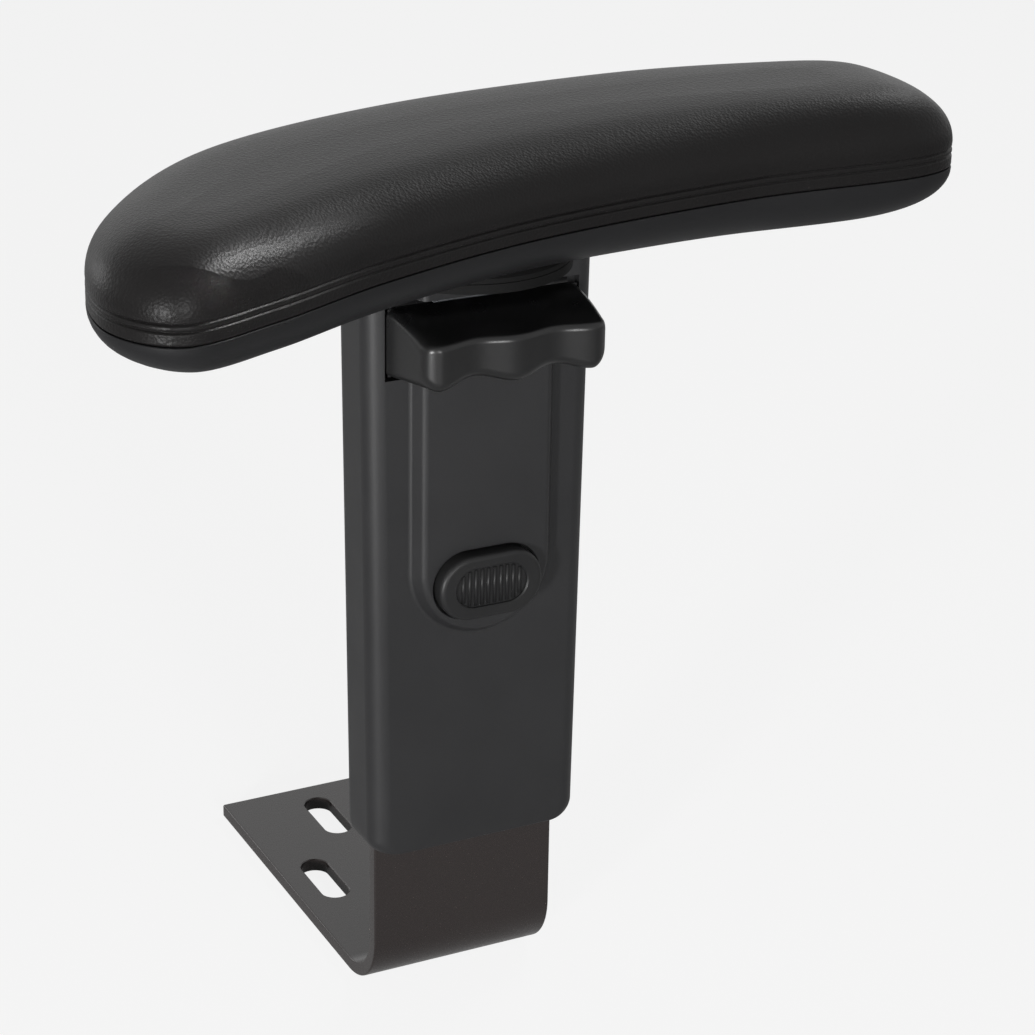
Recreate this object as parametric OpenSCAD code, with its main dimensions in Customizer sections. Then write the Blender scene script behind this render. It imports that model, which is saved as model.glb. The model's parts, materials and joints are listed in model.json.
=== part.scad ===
// Height-adjustable chair armrest: a bent flat-bar bracket, a moulded sleeve that slides on it
// with a push-button height latch, a finger paddle that frees the swivel, and a padded top.
// Origin: top face of the foot, at the centre of its slot pattern. +Z is up, the foot runs
// toward +Y, and the sleeve's outer face looks to -Y.

/* [Bracket] */
// Width of the flat bar
bar_w = 61; // [58:0.5:61]
// Thickness of the flat bar
bar_t = 4.5; // [4:0.25:4.5]
// Height of the bar's top edge above the seat face
bar_top = 189; // [188:0.5:192]
// Outer radius of the bend
bend_r = 21; // [12:1:24]
// From the upright's outer face to the centre of the slot pattern
slot_reach = 90; // [84:1:120]
// From the centre of the slot pattern to the end of the foot
foot_margin = 42; // [38:1:60]
// Width of a fixing slot
slot_w = 9.5; // [6.5:0.5:10.5]
// Length of a fixing slot, tip to tip
slot_l = 27; // [16:1:32]
// Distance between the two rows of fixing slots
slot_row_pitch = 40; // [34:1:44]
// Distance between the two slots that lie side by side
slot_side_pitch = 36; // [24:1:40]

/* [Height latch] */
// Number of height stations in the bar
stations = 7; // [4:1:7]
// Distance between two height stations
station_pitch = 10; // [9.5:0.25:10]
// Height of the lowest station
first_station = 121; // [120:0.5:121]
// Station the button stands at, counted from the lowest
station_now = 2; // [2:1:2]
// Diameter of a station hole
station_d = 10; // [9.8:0.1:10.4]
// Width of the slot that joins the stations
ladder_neck = 6.6; // [6.4:0.1:7.5]
// Diameter of the latch pin's neck
pin_d = 6.2; // [5.5:0.1:6.2]
// Travel of the push button
button_travel = 3; // [2:0.25:3]

/* [Sleeve] */
// Lower end of the sleeve
sleeve_bottom = 51.5; // [50:0.5:54]
// Upper end of the sleeve, under the head plate
sleeve_top = 233; // [233:1:233]
// Width of the sleeve at its lower end
sleeve_w_low = 69.5; // [69:0.5:70.5]
// Width of the sleeve at its upper end
sleeve_w_high = 73.5; // [73:0.5:74.5]
// Radius of the sleeve's upright corners
sleeve_corner = 6; // [5.5:0.25:6.5]
// How far the raised boss stands out of the sleeve's front
boss_rise = 4.5; // [4:0.25:5]
// Radius of the boss's round lower end, at its foot
boss_r = 23.8; // [23.6:0.2:24.6]

/* [Paddle] */
// Width of the paddle at its front edge
paddle_w = 57.5; // [54:0.5:58.5]
// Distance from the upright's outer face to the paddle's front edge
paddle_reach = 34; // [31:0.5:34.5]
// Distance between two crests of the paddle's front edge
crest_pitch = 24.5; // [22:0.5:25]
// Depth of a finger dip in the front edge
dip_depth = 2.5; // [1:0.25:3]

/* [Pad] */
// Yaw of the pad, in steps of the index plate's notches
pad_yaw = 14; // [-21:7:21]
// Angle between two notches
notch_pitch = 7; // [7:0.5:8]
// Number of notches on each side
notches = 7; // [5:2:7]
// Height of the shell's flat underside
pad_bottom = 239; // [239:0.25:241]
// Height of the shell from its underside to its rim
shell_h = 15; // [14.5:0.5:16]
// Height of the cushion's upright side above the shell's rim
cushion_side_h = 6.5; // [5:0.5:9]
// Rise of the cushion's rounded shoulder
shoulder_h = 15; // [13:0.5:18]
// Width of the cushion's rounded shoulder
shoulder_w = 24; // [18:1:28]
// Rise of the crown over the shoulder and the middle of the top
crown_h = 3.5; // [1:0.5:5]

/* [Hidden] */
$fn = 48;
eps = 0.05;
upright_y = -slot_reach;
bend_r_in = bend_r - bar_t;
foot_end = foot_margin;
latch_z = first_station + station_now * station_pitch;
ladder_l = (stations - 1) * station_pitch;

// Sleeve, in the upright's frame: Y is 0 at the bar's outer face
sleeve_front_y = -9.5;
sleeve_rear_y = 14;
parting_y = 8;
rim_r = 5.5;
front_inner_y = -6.7;
rear_inner_y = 11.5;
cavity_hw = 31.7;
tongue_x = cavity_hw - 0.9;
neck_hw = 28.3;
neck_z = 213;
boss_z = 146;
boss_face_y = sleeve_front_y - boss_rise;
boss_foot_r = 1.5;
boss_edge_r = 2.3;
boss_cavity_r = 17;
boss_wall = 2.8;
window_hw = 31;
window_z0 = 207.2;
window_z1 = 231.3;
guide_rib_x = 24;
guide_rib_w = 4;
slide_gap = 0.1;
glide_z0 = 172;
glide_x0 = 8;
glide_w = 20.5;
glide_rivet_z = 180.5;

// Push button and latch pin
button_r = 10.3;
button_straight = 13;
button_gap = 0.5;
button_face_y = -18.2;
flange_r = 11.7;
flange_t = 1.5;
flange_front_y = -11.1;
field_r = 6.3;
field_straight = 10.6;
field_depth = 1.1;
rib_count = 10;
rib_pitch = 2.05;
rib_w = 1.1;
guide_front_y = -6.5;
guide_rear_y = -0.4;
spring_seat_y = -3.4;
collar_d = 9.6;
collar_front_y = 4.9;
collar_t = 3;

// Paddle hinge, index teeth and pivot
hinge_y = -4.5;
hinge_z = 227.5;
hinge_pin_d = 4;
barrel_r = 3.9;
pivot_y = 2.25;
pivot_d = 8;
plate_t = 3;
head_wall = 1.6;
sleeve_rim = sleeve_top + plate_t;
tooth_angle = 15;
tooth_r0 = 20.5;
tooth_l = 5;
tooth_t = 1.6;
tooth_top = 235.9;
index_z = 236.2;
index_t = 2.8;
index_r = 31;
notch_r0 = 19.5;
notch_l = 7;
notch_w = 1.9;
head_screws_at = [for (x = [-31, 31], y = [1.5, 9.4]) [x, y]];
index_screws_at = [[-24, -8.7], [24, -8.7], [-8, 12.7], [8, 12.7]];
pad_screws_at = [[-88, -12], [-52, -1], [52, -2], [95, -14]];
cover_screw_x = 20;
cover_screw_z = 60;
guide_screw_x = 19.3;
guide_screw_z = latch_z + 17.5;

// Pad outline in the pad's own frame, round the swivel axis, as knots of a smooth closed curve
pad_knots = [[-135, -53], [-104, -52], [-61, -44], [-4, -41], [66, -49], [125, -64], [145, -52],
    [152, -15], [127, 8], [76, 31], [-1, 45], [-73, 38], [-122, 7], [-143, -28]];
knot_steps = 6;
pad_fold = 13 * knot_steps;
tip_x = 150;
spine_scale = 0.72;
spine_drop = 500;
spine_y = 3;
floor_t = 2.5;
shell_wall = 2.4;
shell_round = 26;
shell_taper = 0.3;
shell_tip = 0.5;
inward_limit = 0.9;
core_inset = 28;
shoulder_exp = 0.83;
crown_w = 40;
core_t = shell_h - floor_t - 1.1;

// ---- shared shapes ----

// Moves children from the upright's frame to the part's frame
module at_upright() {
    translate([0, upright_y, 0]) children();
}

// Moves children from the pad's own frame, round the swivel axis, to the part's frame
module at_pad() {
    translate([0, upright_y + pivot_y, 0]) rotate([0, 0, pad_yaw]) children();
}

// Cylinder along +Y from y0 to y1
module y_rod(d, y0, y1) {
    translate([0, y0, 0]) rotate([-90, 0, 0]) cylinder(d = d, h = y1 - y0);
}

// Cylinder along X from x0 to x1
module x_rod(d, x0, x1) {
    translate([x0, 0, 0]) rotate([0, 90, 0]) cylinder(d = d, h = x1 - x0);
}

// Block between two corners
module block(low, high) {
    translate(low) cube(high - low);
}

// Sweeps a half profile (x from the axis, y the height) round a stadium that is long in X
module stadium_sweep(straight) {
    for (side = [-1, 1])
        translate([side * straight / 2, 0, 0]) rotate([0, 0, -90 * side])
            rotate_extrude(angle = 180) children();
    rotate([90, 0, 90]) linear_extrude(height = straight, center = true) {
        children();
        mirror([1, 0]) children();
    }
}

// Stadium-shaped prism facing -Y, from y0 back to y1
module stadium(r, straight, y0, y1) {
    rotate([90, 0, 0]) stadium_sweep(straight) translate([0, -y1]) square([r, y1 - y0]);
}

// Countersunk screw, its flat head at z = 0 and its shank down to -len
module flat_screw(d, head_d, len) {
    head_h = (head_d - d) / 2;
    translate([0, 0, -head_h]) cylinder(d1 = d, d2 = head_d, h = head_h);
    translate([0, 0, -len]) cylinder(d = d, h = len - head_h + eps);
}

// Pan-head screw, the underside of its head at z = 0 and its shank up to len
module pan_screw(d, head_d, head_h, len) {
    translate([0, 0, -head_h]) cylinder(d = head_d, h = head_h);
    cylinder(d = d, h = len);
}

// Cap over a ring whose points i and fold - i lie across from each other
function cap_strip(n, fold) = [for (i = [(fold - n) / 2:fold / 2 - 1]) let (j = fold - i)
    [for (m = i == j - n ? [i, i + 1, j - 1] : i + 1 == j - 1 ? [i, i + 1, j] : [i, i + 1, j - 1, j])
        (m + n) % n]];

// Closed solid through a stack of rings of equally many points
module loft(rings, fold = 0) {
    n = len(rings[0]);
    last = (len(rings) - 1) * n;
    sides = [for (k = [0:len(rings) - 2], i = [0:n - 1])
        [k * n + i, (k + 1) * n + i, (k + 1) * n + (i + 1) % n, k * n + (i + 1) % n]];
    top = [for (face = cap_strip(n, fold)) [for (k = [len(face) - 1:-1:0]) last + face[k]]];
    polyhedron([for (ring = rings) each ring], concat(sides, cap_strip(n, fold), top), convexity = 6);
}

// Coil spring round Z between z = 0 and z = len
module coil(mean_d, wire, len, turns) {
    per_turn = 14;
    sides = 8;
    rise = (len - wire) / (turns * per_turn);
    loft([for (i = [0:turns * per_turn]) let (a = 360 * i / per_turn)
        [for (j = [0:sides - 1]) let (b = -360 * j / sides, r = (mean_d + wire * cos(b)) / 2)
            [r * cos(a), r * sin(a), wire / 2 + i * rise + wire / 2 * sin(b)]]]);
}

// ---- bracket ----

module fixing_slot() {
    half = (slot_l - slot_w) / 2;
    for (end = [-half, half]) translate([0, end, -bar_t - 1]) cylinder(d = slot_w, h = bar_t + 2);
    block([-slot_w / 2, -half, -bar_t - 1], [slot_w / 2, half, 1]);
}

module ladder_slot() {
    for (i = [0:stations - 1])
        translate([0, 0, first_station + i * station_pitch]) y_rod(station_d, -1, bar_t + 1);
    block([-ladder_neck / 2, -1, first_station], [ladder_neck / 2, bar_t + 1, first_station + ladder_l]);
}

module bracket() {
    color("#4a4847") difference() {
        union() {
            at_upright() {
                block([-bar_w / 2, 0, bend_r_in], [bar_w / 2, bar_t, bar_top]);
                translate([0, bend_r, bend_r_in]) mirror([0, 1, 0]) rotate([0, 90, 0])
                    rotate_extrude(angle = 90, $fn = 96)
                        translate([bend_r_in, -bar_w / 2]) square([bar_t, bar_w]);
            }
            block([-bar_w / 2, upright_y + bend_r, -bar_t], [bar_w / 2, foot_end, 0]);
        }
        translate([0, slot_row_pitch / 2, 0]) fixing_slot();
        for (side = [-1, 1])
            translate([side * slot_side_pitch / 2, -slot_row_pitch / 2, 0]) fixing_slot();
        at_upright() {
            ladder_slot();
            for (side = [-1, 1])
                translate([side * (glide_x0 + glide_w / 2), 0, glide_rivet_z]) y_rod(4, -1, bar_t + 1);
        }
    }
}

module bar_glides() {
    color("white") at_upright() for (side = [-1, 1]) difference() {
        translate([side * (glide_x0 + glide_w / 2), 0, 0])
            block([-glide_w / 2, bar_t, glide_z0], [glide_w / 2, rear_inner_y - slide_gap, bar_top]);
        translate([side * (glide_x0 + glide_w / 2), 0, glide_rivet_z]) {
            y_rod(4, 0, rear_inner_y);
            y_rod(7.5, bar_t + 4, rear_inner_y);
        }
        for (end = [glide_z0, bar_top])
            translate([0, rear_inner_y, end]) rotate([45, 0, 0])
                cube([bar_w, 2, 2], center = true);
    }
}

module glide_rivets() {
    color("silver") at_upright() for (side = [-1, 1])
        translate([side * (glide_x0 + glide_w / 2), 0, glide_rivet_z]) {
            y_rod(3.96, 0, bar_t + 4);
            y_rod(7, bar_t + 4, bar_t + 5.6);
        }
}

// ---- sleeve ----

// Half width of the sleeve's drafted side at a height
function sleeve_hw(z) = (sleeve_w_low + (sleeve_w_high - sleeve_w_low)
    * (z - sleeve_bottom) / (sleeve_rim - sleeve_bottom)) / 2;

// Front view of the sleeve's rounded lower end, open to the drafted sides above it
module sleeve_outline() {
    corner_z = sleeve_bottom + rim_r;
    x = sleeve_hw(corner_z) + 0.1 - rim_r;
    polygon(concat([[-50, sleeve_rim + 1], [-50, corner_z]],
        [for (a = [180:15:270]) [rim_r * cos(a) - x, corner_z + rim_r * sin(a)]],
        [for (a = [270:15:360]) [rim_r * cos(a) + x, corner_z + rim_r * sin(a)]],
        [[50, corner_z], [50, sleeve_rim + 1]]));
}

// Outer form of both sleeve halves: drafted sides, rounded corners and a rounded lower end
module sleeve_form() {
    intersection() {
        hull() for (side = [-1, 1], z = [sleeve_bottom, sleeve_rim - eps],
                    y = [sleeve_front_y + sleeve_corner, sleeve_rear_y - sleeve_corner])
            translate([side * (sleeve_hw(z) - sleeve_corner), y, z])
                cylinder(r = sleeve_corner, h = eps, $fn = 32);
        rotate([90, 0, 0]) linear_extrude(height = 60, center = true) sleeve_outline();
    }
}

// Outline of the head plate, which lies in a recess of the sleeve's rim
module head_outline(grow, z0, h) {
    r = sleeve_corner - head_wall + grow;
    x = sleeve_w_high / 2 - sleeve_corner - 0.15;
    y0 = sleeve_front_y + sleeve_corner;
    y1 = sleeve_rear_y - sleeve_corner;
    for (side = [-1, 1], y = [y0, y1]) translate([side * x, y, z0]) cylinder(r = r, h = h);
    block([-x - r, y0, z0], [x + r, y1, z0 + h]);
    block([-x, y0 - r, z0], [x, y1 + r, z0 + h]);
}

// Half profile of the boss: a fillet at its foot, a drafted wall and a rounded edge
module boss_profile() {
    base = -sleeve_front_y;
    face = -boss_face_y;
    wall_a = 60;
    wall_x = boss_r - boss_foot_r * sin(wall_a);
    wall_y = base + boss_foot_r * (1 - cos(wall_a));
    edge_y = face - boss_edge_r * (1 - cos(wall_a));
    edge_x = wall_x - (edge_y - wall_y) / tan(wall_a);
    face_x = edge_x - boss_edge_r * sin(wall_a);
    polygon(concat(
        [[0, base - 1], [boss_r, base - 1]],
        [for (a = [0:15:wall_a]) [boss_r - boss_foot_r * sin(a), base + boss_foot_r * (1 - cos(a))]],
        [for (a = [wall_a:-15:0]) [face_x + boss_edge_r * sin(a), face - boss_edge_r * (1 - cos(a))]],
        [[0, face]]));
}

// Raised panel with a round lower end that runs up to the sleeve's rim
module boss() {
    translate([0, 0, boss_z]) rotate([90, 0, 0]) {
        rotate([0, 0, 180]) rotate_extrude(angle = 180, $fn = 96) boss_profile();
        rotate([-90, 0, 0]) linear_extrude(height = sleeve_rim - boss_z) {
            mirror([0, 1]) boss_profile();
            mirror([0, 1]) mirror([1, 0]) boss_profile();
        }
    }
}

module boss_cavity() {
    y0 = boss_face_y + boss_wall;
    translate([0, 0, boss_z]) y_rod(2 * boss_cavity_r, y0, front_inner_y + eps);
    block([-boss_cavity_r, y0, boss_z], [boss_cavity_r, front_inner_y + eps, window_z0 + 1]);
}

module saddle_slots() {
    for (side = [-1, 1])
        block([side * 31 - 3, hinge_y - hinge_pin_d / 2 - 0.02, hinge_z],
              [side * 31 + 3, hinge_y + hinge_pin_d / 2 + 0.02, sleeve_top + 1]);
    translate([0, hinge_y, hinge_z]) x_rod(hinge_pin_d + 0.04, -34, 34);
}

module head_screw_holes(d) {
    for (p = head_screws_at) translate([p.x, p.y, sleeve_top - 12]) cylinder(d = d, h = 20);
}

module sleeve_front() {
    color("#333333") at_upright() difference() {
        intersection() {
            union() {
                sleeve_form();
                boss();
            }
            block([-50, -40, 0], [50, parting_y, 300]);
        }
        difference() {
            union() {
                block([-cavity_hw, front_inner_y, sleeve_bottom - 1], [cavity_hw, parting_y + 1, neck_z]);
                block([-neck_hw, front_inner_y, neck_z - 1], [neck_hw, parting_y + 1, sleeve_top + 1]);
            }
            for (side = [-1, 1])
                translate([side * (guide_rib_x + guide_rib_w / 2), 0, 0])
                    block([-guide_rib_w / 2, front_inner_y - 1, 68], [guide_rib_w / 2, -slide_gap, 204]);
        }
        boss_cavity();
        block([-window_hw, boss_face_y - 5, window_z0], [window_hw, front_inner_y + eps, window_z1]);
        translate([0, 0, latch_z]) {
            stadium(button_r + button_gap, button_straight, boss_face_y - 1, front_inner_y + eps);
            stadium(flange_r + 0.6, button_straight, boss_face_y + boss_wall, front_inner_y + eps);
        }
        for (side = [-1, 1])
            translate([side * guide_screw_x, 0, guide_screw_z]) y_rod(2, -12, front_inner_y + 1);
        saddle_slots();
        head_screw_holes(2.6);
        head_outline(0.05, sleeve_top, plate_t + 1);
    }
}

module sleeve_back() {
    color("#2b2b2b") at_upright() difference() {
        union() {
            difference() {
                intersection() {
                    sleeve_form();
                    block([-50, parting_y, 0], [50, 40, 300]);
                }
                block([-cavity_hw, 0, sleeve_bottom - 1], [cavity_hw, rear_inner_y, neck_z]);
                block([-neck_hw, 0, neck_z - 1], [neck_hw, rear_inner_y, sleeve_top + 1]);
            }
            // tongues that locate the cover inside the front half
            for (side = [-1, 1])
                block([side * tongue_x - 0.8, 5.2, 72], [side * tongue_x + 0.8, rear_inner_y + eps, 205]);
        }
        for (side = [-1, 1]) translate([side * cover_screw_x, 0, cover_screw_z]) {
            y_rod(3.2, 0, 20);
            y_rod(6.4, sleeve_rear_y - 1.6, 20);
        }
        head_screw_holes(2.6);
        head_outline(0.05, sleeve_top, plate_t + 1);
    }
}

module mouth_liner() {
    color("gainsboro") at_upright() difference() {
        block([-cavity_hw + 0.05, front_inner_y + 0.05, sleeve_bottom + 1.5],
              [cavity_hw - 0.05, rear_inner_y - 0.05, sleeve_bottom + 13.5]);
        block([-bar_w / 2 - slide_gap, -slide_gap, sleeve_bottom],
              [bar_w / 2 + slide_gap, bar_t + slide_gap, sleeve_bottom + 20]);
        for (side = [-1, 1]) translate([side * cover_screw_x, 0, cover_screw_z]) y_rod(2.6, bar_t, 20);
    }
}

module cover_screws() {
    color("silver") at_upright() for (side = [-1, 1])
        translate([side * cover_screw_x, sleeve_rear_y - 1.6, cover_screw_z]) rotate([90, 0, 0]) pan_screw(2.56, 6, 1.3, 7);
}

module button_guide() {
    color("gainsboro") at_upright() difference() {
        block([-guide_rib_x + 0.1, guide_front_y, latch_z - 15],
              [guide_rib_x - 0.1, guide_rear_y, latch_z + 21]);
        translate([0, 0, latch_z]) {
            y_rod(pin_d + 0.12, -20, 20);
            y_rod(11, -20, spring_seat_y);
        }
        for (side = [-1, 1]) translate([side * guide_screw_x, 0, guide_screw_z]) {
            y_rod(2.3, -20, 20);
            y_rod(4.6, -2.4, 20);
        }
    }
}

module guide_screws() {
    color("silver") at_upright() for (side = [-1, 1])
        translate([side * guide_screw_x, -2.4, guide_screw_z]) rotate([90, 0, 0]) pan_screw(1.96, 4.2, 1.4, 8.6);
}

module head_plate() {
    color("silver") at_upright() difference() {
        head_outline(0, sleeve_top, plate_t);
        translate([0, pivot_y, sleeve_top - 1]) cylinder(d = pivot_d + 0.04, h = plate_t + 2);
        for (side = [-1, 1])
            block([side * 22.4 - 3.8, 6, sleeve_top - 1], [side * 22.4 + 3.8, 11.4, sleeve_top + plate_t + 1]);
        for (p = head_screws_at) translate([p.x, p.y, sleeve_top + plate_t]) {
            translate([0, 0, -10]) cylinder(d = 3.2, h = 20);
            translate([0, 0, -1.3]) cylinder(d1 = 3.2, d2 = 5.6, h = 1.3 + eps / 100);
        }
    }
}

module head_screws() {
    color("silver") at_upright() for (p = head_screws_at)
        translate([p.x, p.y, sleeve_top + plate_t - 0.05]) flat_screw(2.56, 5, 14);
}

module paddle_pin() {
    color("silver") at_upright() translate([0, hinge_y, hinge_z]) x_rod(hinge_pin_d, -33.6, 33.6);
}

module paddle_spring() {
    color("silver") at_upright() translate([9.2, hinge_y, hinge_z]) {
        rotate([0, 90, 0]) coil(6, 1.1, 6.2, 5);
        // legs: one up against the head plate, one back over the bolt side
        translate([0.55, 3, 0]) cylinder(d = 1.1, h = 5.2);
        translate([5.65, 0, -3]) y_rod(1.1, 0, 9);
    }
}

module pivot_stud() {
    color("silver") at_upright() translate([0, pivot_y, sleeve_top]) {
        translate([0, 0, -1.5]) cylinder(d = 12, h = 1.5);
        cylinder(d = pivot_d, h = 15.4);
    }
}

module pivot_nut() {
    nut_flats = 13;
    color("silver") at_upright() translate([0, pivot_y, pad_bottom + floor_t + 1.5]) difference() {
        cylinder(d = nut_flats / cos(30), h = 5, $fn = 6);
        translate([0, 0, -1]) cylinder(d = pivot_d + 0.04, h = 8);
    }
}

module thrust_washer() {
    color("silver") at_upright() translate([0, pivot_y, pad_bottom + floor_t + 0.2]) difference() {
        cylinder(d = 17, h = 1.2);
        translate([0, 0, -1]) cylinder(d = pivot_d + 0.2, h = 4);
    }
}

// ---- push button ----

// Half profile of the cap: a flange at the back, an upright side and a rounded rim
module cap_profile() {
    rim = 1.6;
    face = -button_face_y;
    flange = -flange_front_y;
    polygon(concat(
        [[0, flange - flange_t], [flange_r, flange - flange_t], [flange_r, flange], [button_r, flange]],
        [for (a = [0:15:90]) [button_r - rim * (1 - cos(a)), face - rim * (1 - sin(a))]],
        [[0, face]]));
}

module button() {
    color("#2d2d2d") at_upright() translate([0, 0, latch_z]) {
        difference() {
            rotate([90, 0, 0]) stadium_sweep(button_straight) cap_profile();
            stadium(field_r, field_straight, button_face_y - 1, button_face_y + field_depth);
            y_rod(pin_d + 0.02, -13, 0);
            y_rod(11, -12, 0);
        }
        // upright grip ribs across the sunken field
        intersection() {
            stadium(field_r, field_straight, button_face_y + 0.3, button_face_y + field_depth + eps);
            for (i = [0:rib_count - 1])
                translate([(i - (rib_count - 1) / 2) * rib_pitch, 0, 0])
                    block([-rib_w / 2, -20, -10], [rib_w / 2, -10, 10]);
        }
    }
}

module latch_pin() {
    color("silver") at_upright() translate([0, 0, latch_z]) {
        y_rod(pin_d, -13, collar_front_y + eps);
        y_rod(collar_d, collar_front_y, collar_front_y + collar_t);
    }
}

module button_spring() {
    color("silver") at_upright() translate([0, -11.9, latch_z]) rotate([-90, 0, 0])
        coil(8.6, 0.8, 8.4, 5);
}

// ---- paddle ----

function front_edge(x) = -paddle_reach + dip_depth * (1 - cos(360 * x / crest_pitch)) / 2;

// Plan of the grip: a waved front edge between rounded corners, widening toward the sleeve
module paddle_plan() {
    hw = paddle_w / 2;
    corner = 4;
    rear_hw = 30.2;
    polygon(concat(
        [[-rear_hw, -9.6]],
        [for (a = [0:15:75]) [-hw + corner * (1 - cos(a)), -paddle_reach + corner * (1.1 - sin(a))]],
        [for (x = [-24.5:1.75:24.5]) [x, front_edge(x)]],
        [for (a = [75:-15:0]) [hw - corner * (1 - cos(a)), -paddle_reach + corner * (1.1 - sin(a))]],
        [[rear_hw, -9.6]]));
}

// Side view of the grip (Y, Z): it thins toward the front edge
module paddle_side() {
    polygon([[-9.6, 208.6], [-9.6, 229], [-16, 228.8], [-24, 227.8], [-35, 225.3], [-35, 210.8],
        [-26, 210], [-18, 209.2]]);
}

module paddle_grip() {
    intersection() {
        translate([0, 0, 200]) linear_extrude(height = 40) paddle_plan();
        rotate([90, 0, 90]) linear_extrude(height = 80, center = true) paddle_side();
    }
}

module paddle() {
    dip_r = 14;
    arm_x = 22.2;
    arm_hw = 4.6;
    color("#303030") at_upright() difference() {
        union() {
            paddle_grip();
            // web from the grip back to the hinge barrels
            block([-28, -10, 219], [28, hinge_y, 229]);
            for (side = [-1, 1]) translate([0, hinge_y, hinge_z])
                x_rod(2 * barrel_r, side > 0 ? 16.5 : -28, side > 0 ? 28 : -16.5);
            // arms that carry the index teeth
            for (side = [-1, 1])
                block([side * arm_x - arm_hw, hinge_y, hinge_z - barrel_r],
                      [side * arm_x + arm_hw, 10.4, hinge_z + 1.5]);
        }
        // finger dips under the front edge
        for (side = [-1, 1])
            translate([side * crest_pitch / 2, 0, 213.6 - dip_r]) y_rod(2 * dip_r, -40, -22);
        // hollow moulding, open to the inside of the sleeve
        block([-25.5, -21, 212], [25.5, -9, 217]);
        block([-15.6, -9.4, 217.5], [15.6, 0, 240]);
        translate([0, hinge_y, hinge_z]) x_rod(hinge_pin_d + 0.12, -40, 40);
        tooth_roots(0.06);
    }
}

// Steel teeth, drawn just clear under the notches of the index plate
module tooth_roots(gap) {
    for (side = [0, 1]) mirror([side, 0, 0])
        translate([0, pivot_y, 0]) rotate([0, 0, tooth_angle])
            block([tooth_r0 - gap, -tooth_t / 2 - gap, hinge_z - 2 - gap],
                  [tooth_r0 + tooth_l + gap, tooth_t / 2 + gap, tooth_top]);
}

module index_teeth() {
    color("silver") at_upright() tooth_roots(0);
}

// ---- pad ----

function knot(i) = pad_knots[(i + len(pad_knots)) % len(pad_knots)];
function curve_point(i, t) = 0.5 * (2 * knot(i) + (knot(i + 1) - knot(i - 1)) * t
    + (2 * knot(i - 1) - 5 * knot(i) + 4 * knot(i + 1) - knot(i + 2)) * t * t
    + (3 * knot(i) - knot(i - 1) - 3 * knot(i + 1) + knot(i + 2)) * t * t * t);
pad_outline = [for (i = [0:len(pad_knots) - 1], s = [0:knot_steps - 1]) curve_point(i, s / knot_steps)];

// Curved spine that the outline shrinks toward
function spine_point(p) = [spine_scale * p.x, spine_y - pow(spine_scale * p.x, 2) / spine_drop];
function widening(x) = 1 - shell_taper * x / tip_x + shell_tip * pow(x / tip_x, 4);
function inward(p, d) = let (v = spine_point(p) - p) p + v * min(d / norm(v), inward_limit);
function ring_point(p, level) = inward(p, level[0] + level[1] * widening(p.x));

// Closed solid through rings of the pad, each given as [inset, inset that widens to the tips, height]
module pad_loft(levels) {
    loft([for (level = levels) [for (p = pad_outline) let (q = ring_point(p, level)) [q.x, q.y, level[2]]]],
         pad_fold);
}

module index_plate() {
    color("dimgray") at_pad() translate([0, 0, index_z]) difference() {
        cylinder(r = index_r, h = index_t, $fn = 96);
        translate([0, 0, -1]) cylinder(d = pivot_d + 0.16, h = index_t + 2);
        for (side = [0, 1], k = [0:notches - 1])
            mirror([side, 0, 0]) rotate([0, 0, (k - (notches - 1) / 2) * notch_pitch + tooth_angle])
                block([notch_r0, -notch_w / 2, -1], [notch_r0 + notch_l, notch_w / 2, index_t + 1]);
        for (p = index_screws_at) translate([p.x, p.y, 0]) {
            translate([0, 0, -1]) cylinder(d = 4.2, h = index_t + 2);
            translate([0, 0, -eps / 100]) cylinder(d1 = 8.2, d2 = 4.2, h = 2);
        }
    }
}

module index_screws() {
    color("silver") at_pad() for (p = index_screws_at)
        translate([p.x, p.y, index_z + 0.05]) mirror([0, 0, 1]) flat_screw(3.56, 7.4, 10);
}

// Tray that shallows toward its edge, with a round boss over the index plate
module pad_shell() {
    rim = pad_bottom + shell_h;
    inner_z = pad_bottom + floor_t;
    outer = [for (a = [0:15:90]) [0, shell_round * (1 - sin(a)), rim - (rim - pad_bottom) * cos(a)]];
    inner = [for (a = [0:15:90])
        [shell_wall, (shell_round - 1.4) * (1 - sin(a)), rim - (rim - inner_z) * cos(a)]];
    color("#2b2b2b") at_pad() difference() {
        union() {
            pad_loft(outer);
            translate([0, 0, pad_bottom]) cylinder(r = index_r, h = 5, $fn = 96);
        }
        pad_loft(concat(inner, [[shell_wall, 0, rim + 1]]));
        translate([0, 0, pad_bottom - 1]) cylinder(d = pivot_d + 0.16, h = floor_t + 2);
        for (p = index_screws_at) translate([p.x, p.y, pad_bottom - 1]) cylinder(d = 4, h = floor_t + 2);
        for (p = pad_screws_at) translate([p.x, p.y, pad_bottom - 1]) cylinder(d = 4.5, h = floor_t + 2);
    }
}

module pad_core() {
    z0 = pad_bottom + floor_t + 0.1;
    color("burlywood") at_pad() difference() {
        translate([0, 0, z0]) linear_extrude(height = core_t)
            polygon([for (p = pad_outline) ring_point(p, [0, core_inset])]);
        translate([0, 0, z0 - 1]) cylinder(d = 20, h = core_t + 2);
        for (p = concat(index_screws_at, pad_screws_at))
            translate([p.x, p.y, z0 - 1]) cylinder(d = 3.6, h = core_t - 0.5);
    }
}

module pad_screws() {
    color("silver") at_pad() for (p = pad_screws_at)
        translate([p.x, p.y, pad_bottom]) pan_screw(3.56, 7.5, 2, 8.5);
}

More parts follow.
